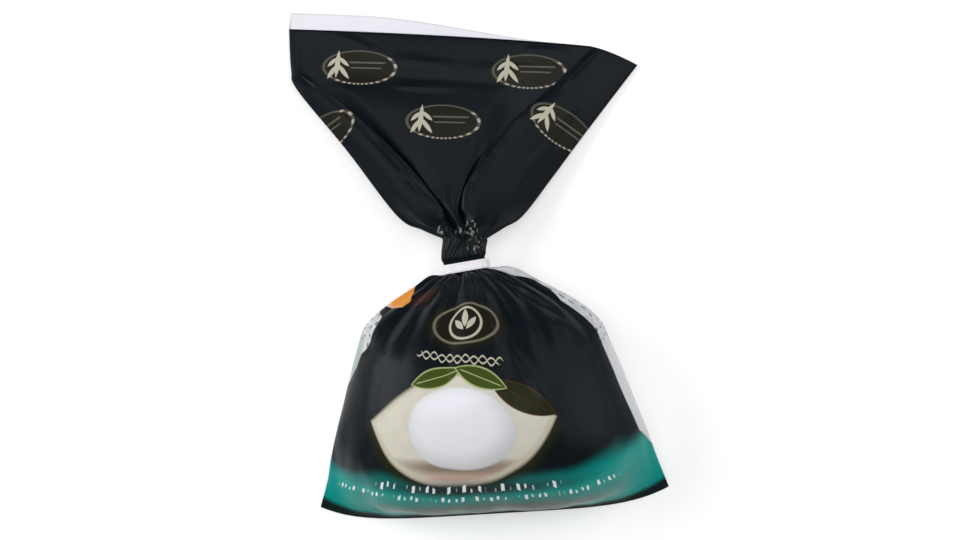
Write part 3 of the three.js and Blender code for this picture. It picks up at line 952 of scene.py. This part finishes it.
# the band round the neck, in mm: a flat strap bent to a loop, its ends welded at the right
strap = dict(
    halfWidth=10.0, halfThick=3.8, wall=0.76, width=4.3, edgeRound=0.3, beadSize=0.3, beadInset=0.75,
    tabLength=1.25, tabThick=1.7, tabShare=0.94, welds=5, weldStep=0.8, weldSize=0.42,
    weldShape=(0.8, 0.35, 0.8), cornerSteps=14, edgeSteps=4, beadSides=8, sharpAngle=40,
)


def strapSizes():
    # the node group's inputs, in metres
    s = strap
    wide, thick = s["halfWidth"] + s["wall"] / 2, s["halfThick"] + s["wall"] / 2
    sizes = dict(
        loopWidth=2 * s["halfWidth"], loopThick=2 * s["halfThick"], loopRadius=s["halfThick"],
        wall=s["wall"], width=s["width"], edgeRound=s["edgeRound"],
        beadLoopWidth=2 * wide, beadLoopThick=2 * thick, beadLoopRadius=thick,
        beadRadius=s["beadSize"] / 2, beadLift=s["width"] / 2 - s["beadInset"],
        tabLength=s["tabLength"], tabThick=s["tabThick"], tabWidth=s["width"] * s["tabShare"],
        tabAt=wide + s["tabLength"] / 2, weldStep=s["weldStep"], weldSize=s["weldSize"],
        weldsStart=-s["weldStep"] * (s["welds"] - 1) / 2,
    )
    return {name: size * metre for name, size in sizes.items()}


def roundedBox(add, width, height, radius, steps):
    box = add("GeometryNodeCurvePrimitiveQuadrilateral", {"Width": width, "Height": height})
    return add("GeometryNodeFilletCurve", box, {"Count": steps, "Radius": radius}, mode="POLY")


def strapTree(material, sizes):
    s = strap
    tree = bpy.data.node_groups.new("bandLoop", "GeometryNodeTree")
    add = nodeAdder(tree)
    for name, size in sizes.items():
        tree.interface.new_socket(name, in_out="INPUT", socket_type="NodeSocketFloat").default_value = size
    tree.interface.new_socket("Geometry", in_out="OUTPUT", socket_type="NodeSocketGeometry")
    given = add("NodeGroupInput").outputs

    loop = roundedBox(add, given["loopWidth"], given["loopThick"], given["loopRadius"], s["cornerSteps"])
    section = roundedBox(add, given["wall"], given["width"], given["edgeRound"], s["edgeSteps"])
    pieces = [add("GeometryNodeCurveToMesh", loop, section)]

    # two fine beads stand on the outside, one along each edge
    beadLoop = roundedBox(
        add, given["beadLoopWidth"], given["beadLoopThick"], given["beadLoopRadius"], s["cornerSteps"])
    circle = add("GeometryNodeCurvePrimitiveCircle", {
        "Resolution": s["beadSides"], "Radius": given["beadRadius"]})
    bead = add("GeometryNodeCurveToMesh", beadLoop, circle)
    for side in (1.0, -1.0):
        rise = add("Math", given["beadLift"], side, operation="MULTIPLY")
        lift = add("CombineXYZ", {2: rise})
        pieces.append(add("GeometryNodeTransform", bead, {"Translation": lift}))

    # the welded ends: a short flat tab, and a row of weld spots pressed up from it
    spot = add("GeometryNodeMeshIcoSphere", given["weldSize"], 2)
    along = add("CombineXYZ", {2: given["weldStep"]})
    line = add("GeometryNodeMeshLine", s["welds"], {"Start Location": (0, 0, 0), "Offset": along})
    spots = add("GeometryNodeInstanceOnPoints", line, {2: spot, "Scale": s["weldShape"]})
    for side in (0.5, -0.5):
        out = add("Math", given["tabThick"], side, operation="MULTIPLY")
        place = add("CombineXYZ", given["tabAt"], out, given["weldsStart"])
        pieces.append(add("GeometryNodeTransform", spots, {"Translation": place}))
    tabBox = add("CombineXYZ", given["tabLength"], given["tabThick"], given["tabWidth"])
    tab = add("GeometryNodeMeshCube", tabBox, 2, 2, 2)
    tabPlace = add("CombineXYZ", given["tabAt"])
    pieces.append(add("GeometryNodeTransform", tab, {"Translation": tabPlace}))

    joined = add("GeometryNodeJoinGeometry")
    for piece in pieces:
        tree.links.new(piece.outputs[0], joined.inputs[0])
    # the loop is drawn flat, then set upright round the neck
    upright = add("GeometryNodeTransform", joined, {"Rotation": (math.pi / 2, 0, 0)})
    tilted = add("GeometryNodeTransform", upright, {"Rotation": (0, 0, pouch["neckTilt"])})
    x, y, z = pouch["neckAt"]
    placed = add("GeometryNodeTransform", tilted, {
        "Translation": ((x + shift[0]) * metre, (y + shift[1]) * metre, z * metre)})
    real = add("GeometryNodeRealizeInstances", placed)
    dressed = add("GeometryNodeSetMaterial", real, {"Material": material})
    add("NodeGroupOutput", dressed)
    return tree


# polypropylene strap, extruded and satin white, with a cool cast and a little scuffing
plastic = dict(
    shades=("#f4f1f4", "#e4e2e8"), roughness=(0.36, 0.52), ior=1.49, cloud=260.0,
    drawn=(150, 4200, 600), lineDepth=0.00008, lineStrength=0.5,   # fine lines along the strap, as extruded
)


def strapMaterial():
    p = plastic
    material, add = newMaterial("satinPolypropylene")
    place = add("TexCoord").outputs["Object"]
    cloud = add("TexNoise", {"Vector": place, "Scale": p["cloud"], "Detail": 3.0})
    drawn = add("Mapping", {"Vector": place, "Rotation": (0, 0, -pouch["neckTilt"]), "Scale": p["drawn"]})
    lines = add("TexNoise", {"Vector": drawn, "Scale": 1.0, "Detail": 2.0})
    light, dark = map(toLinear, p["shades"])
    surface(add, lines, p["lineDepth"], p["lineStrength"], {
        "Base Color": printLayers(add, light, [(cloud, dark)]), "IOR": p["ior"],
        "Roughness": add("MapRange", cloud, 0.0, 1.0, *p["roughness"])})
    return material


def makeStrap():
    sizes = strapSizes()
    tree = strapTree(strapMaterial(), sizes)
    blank = newObject("strapBlank", bpy.data.meshes.new("strapBlank"))
    modifier = blank.modifiers.new("loop", "NODES")
    modifier.node_group = tree
    for item in tree.interface.items_tree:
        if item.in_out == "INPUT":
            modifier[item.identifier] = sizes[item.name]
    evaluated = blank.evaluated_get(bpy.context.evaluated_depsgraph_get())
    mesh = bpy.data.meshes.new_from_object(evaluated)
    blank.modifiers.remove(modifier)
    bpy.data.objects.remove(blank)
    band = newObject("neckStrap", mesh)
    work = bmesh.new()
    work.from_mesh(mesh)
    bmesh.ops.remove_doubles(work, verts=work.verts, dist=0.000002)
    bmesh.ops.recalc_face_normals(work, faces=work.faces)
    for edge in work.edges:
        edge.smooth = edge.calc_face_angle(0) < math.radians(strap["sharpAngle"])
    work.to_mesh(mesh)
    work.free()
    mesh.polygons.foreach_set("use_smooth", [True] * len(mesh.polygons))
    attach(band, "root")
    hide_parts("band")
    print("strap made,", len(mesh.polygons), "faces")


# a plain pale table under one broad box, with four lower ones round it
studio = dict(
    paper="#e6e6e6", paperGlow=0.4, roughness=0.9, specular=0.2, grain=900.0, grainDepth=0.0001,
    grainStrength=0.2, floorHalf=2, floorDrop=0.0002, sky=0.18,
    boxes=[("boxTop", (0.0, 0.05, 1.9), 1.5, 13.6), ("boxLeft", (-1.1, 0.3, 0.62), 0.9, 12.0),
           ("boxRight", (1.1, 0.1, 0.62), 0.9, 4.5), ("boxBack", (0.75, 0.85, 0.85), 0.8, 3.0),
           ("boxFront", (0.0, -1.2, 0.62), 0.9, 1.5)],
)


def makeStudio():
    s = studio
    floor = newObject("floor", squareMesh("floor", s["floorHalf"], -s["floorDrop"]))
    material, add = newMaterial("studioPaper")
    place = add("TexCoord").outputs["Object"]
    grain = add("TexNoise", {"Vector": place, "Scale": s["grain"], "Detail": 2.0})
    paper = toLinear(s["paper"])
    surface(add, grain, s["grainDepth"], s["grainStrength"], {
        "Base Color": paper, "Roughness": s["roughness"], "Specular IOR Level": s["specular"],
        "Emission Color": paper, "Emission Strength": s["paperGlow"]})
    floor.data.materials.append(material)

    world = bpy.data.worlds.new("studio")
    bpy.context.scene.world = world
    world.use_nodes = True
    background = world.node_tree.nodes["Background"].inputs
    background[0].default_value = (1, 1, 1, 1)
    background[1].default_value = s["sky"]
    for name, place, size, power in s["boxes"]:
        lamp = bpy.data.lights.new(name, "AREA")
        lamp.shape = "SQUARE"
        lamp.size = size
        lamp.energy = power
        lampObject = newObject(name, lamp)
        lampObject.location = place
        lampObject.rotation_euler = (-Vector(place)).to_track_quat("-Z", "Y").to_euler()
    bpy.context.scene.view_settings.view_transform = "Standard"
    print("studio lit")


makeCamera()
makeFilm()
makeStrap()
makeStudio()
